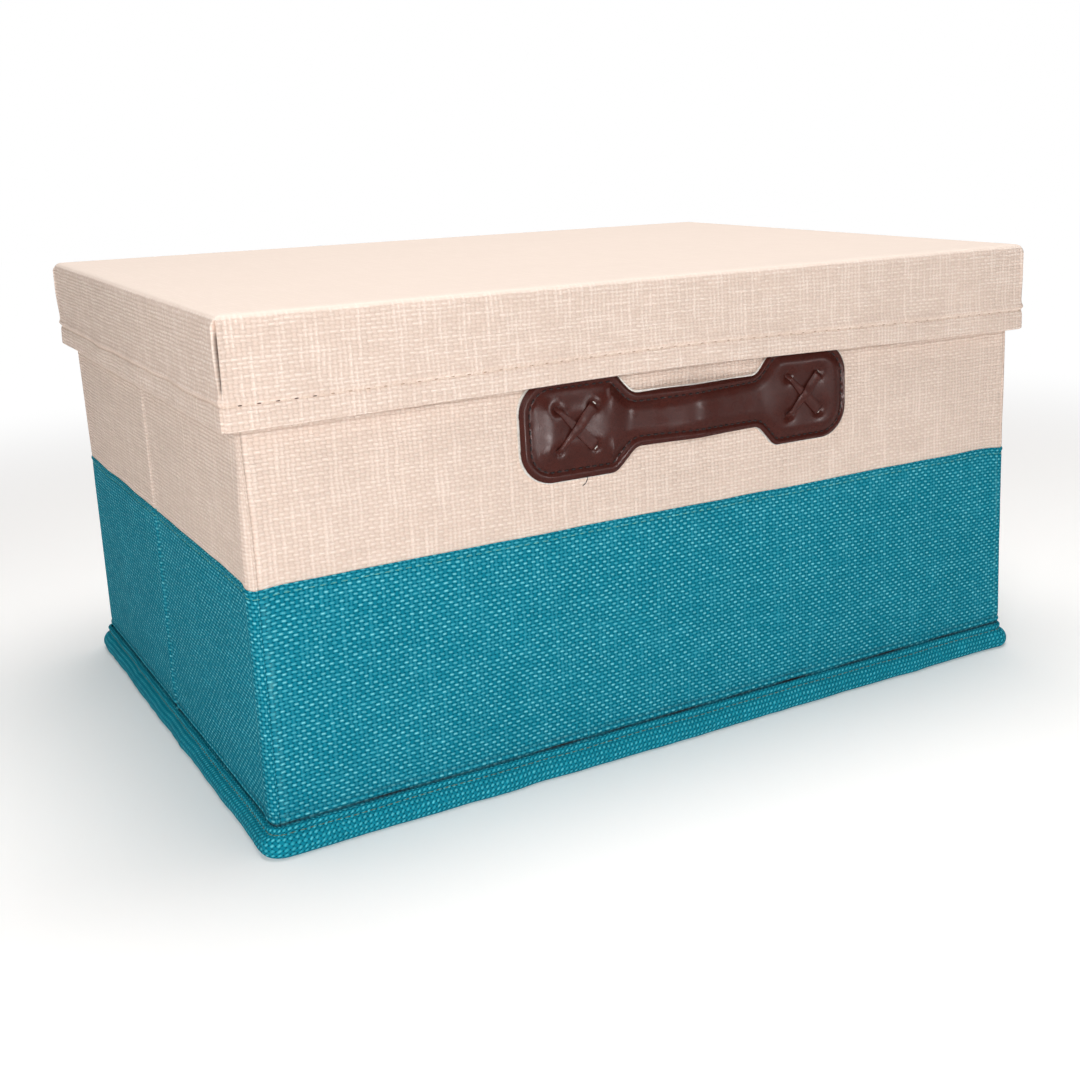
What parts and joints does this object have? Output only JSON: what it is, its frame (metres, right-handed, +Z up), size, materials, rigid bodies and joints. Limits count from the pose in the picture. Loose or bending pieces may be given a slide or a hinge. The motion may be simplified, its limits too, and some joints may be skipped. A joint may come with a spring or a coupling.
{
  "type": "fabric storage box",
  "caption": "Fold-flat cloth-covered storage box with stiffened walls, creased sides, loose floor board, lift-off lid and laced leather front handle",
  "frame": {"origin": "on the floor under the middle of the closed box", "axes": "+X to the right along the front, +Y to the back, +Z up; the front with the handle faces -Y"},
  "size_m": [0.387, 0.295, 0.2045],
  "materials": {
    "cream_linen": "cream linen-look plain weave, slubby, matt",
    "teal_linen": "teal linen-look coarse plain weave with light flecks, matt",
    "lining_cotton": "thin pale lining cloth, matt",
    "grey_card": "grey-brown solid card, matt, hidden",
    "brown_leather": "dark brown grained leather, soft sheen",
    "lace_leather": "dark brown leather lace, soft sheen",
    "pale_backing": "pale felted backing, matt"
  },
  "bodies": {
    "front_body": {"front_cream_cover": "cream_linen", "front_teal_cover": "teal_linen", "front_board": "grey_card", "front_lining": "lining_cotton", "bottom_sheet": "teal_linen", "front_welt": "teal_linen", "back_welt": "teal_linen", "left_welt": "teal_linen", "right_welt": "teal_linen", "handle_strap": "brown_leather", "handle_backing": "pale_backing", "lace_left_over": "lace_leather", "lace_left_under": "lace_leather", "lace_right_over": "lace_leather", "lace_right_under": "lace_leather"},
    "left_front_wall": {"left_front_cream_cover": "cream_linen", "left_front_teal_cover": "teal_linen", "left_front_board": "grey_card", "left_front_lining": "lining_cotton"},
    "left_back_wall": {"left_back_cream_cover": "cream_linen", "left_back_teal_cover": "teal_linen", "left_back_board": "grey_card", "left_back_lining": "lining_cotton"},
    "back_wall": {"back_cream_cover": "cream_linen", "back_teal_cover": "teal_linen", "back_board": "grey_card", "back_lining": "lining_cotton"},
    "right_front_wall": {"right_front_cream_cover": "cream_linen", "right_front_teal_cover": "teal_linen", "right_front_board": "grey_card", "right_front_lining": "lining_cotton"},
    "right_back_wall": {"right_back_cream_cover": "cream_linen", "right_back_teal_cover": "teal_linen", "right_back_board": "grey_card", "right_back_lining": "lining_cotton"},
    "floor_board": {"base_board": "grey_card", "base_cover": "lining_cotton"},
    "lid": {"lid_cover": "cream_linen", "lid_lining": "lining_cotton", "lid_top_board": "grey_card", "lid_rim_front_board": "grey_card", "lid_rim_back_board": "grey_card", "lid_rim_left_board": "grey_card", "lid_rim_right_board": "grey_card"}
  },
  "joints": [
    {"name": "side_fold", "type": "hinge", "parent": "front_body", "child": "left_front_wall", "pos_m": [-0.1838, -0.13765, 0], "axis": [0, 0, 1], "range_deg": [-86, 0], "deforming": ["left_welt", "right_welt", "back_welt"]},
    {"name": "left_crease", "type": "hinge", "parent": "left_front_wall", "child": "left_back_wall", "pos_m": [-0.18815, 0, 0], "axis": [0, 0, 1], "range_deg": [0, 172]},
    {"name": "back_left_corner", "type": "hinge", "parent": "left_back_wall", "child": "back_wall", "pos_m": [-0.1838, 0.13765, 0], "axis": [0, 0, 1], "range_deg": [-86, 0]},
    {"name": "right_fold", "type": "hinge", "parent": "front_body", "child": "right_front_wall", "pos_m": [0.1838, -0.13765, 0], "axis": [0, 0, 1], "range_deg": [0, 86]},
    {"name": "right_crease", "type": "hinge", "parent": "right_front_wall", "child": "right_back_wall", "pos_m": [0.18815, 0, 0], "axis": [0, 0, 1], "range_deg": [-172, 0]},
    {"name": "floor_board_lift", "type": "slide", "parent": "front_body", "child": "floor_board", "axis": [0, 0, 1], "range_m": [0, 0.26]},
    {"name": "lid_lift", "type": "slide", "parent": "floor_board", "child": "lid", "axis": [0, 0, 1], "range_m": [0, 0.12]}
  ],
  "couplings": [
    {"joint": "left_crease", "follows": "side_fold", "ratio": -2},
    {"joint": "back_left_corner", "follows": "side_fold", "ratio": 1},
    {"joint": "right_fold", "follows": "side_fold", "ratio": -1},
    {"joint": "right_crease", "follows": "side_fold", "ratio": 2}
  ]
}
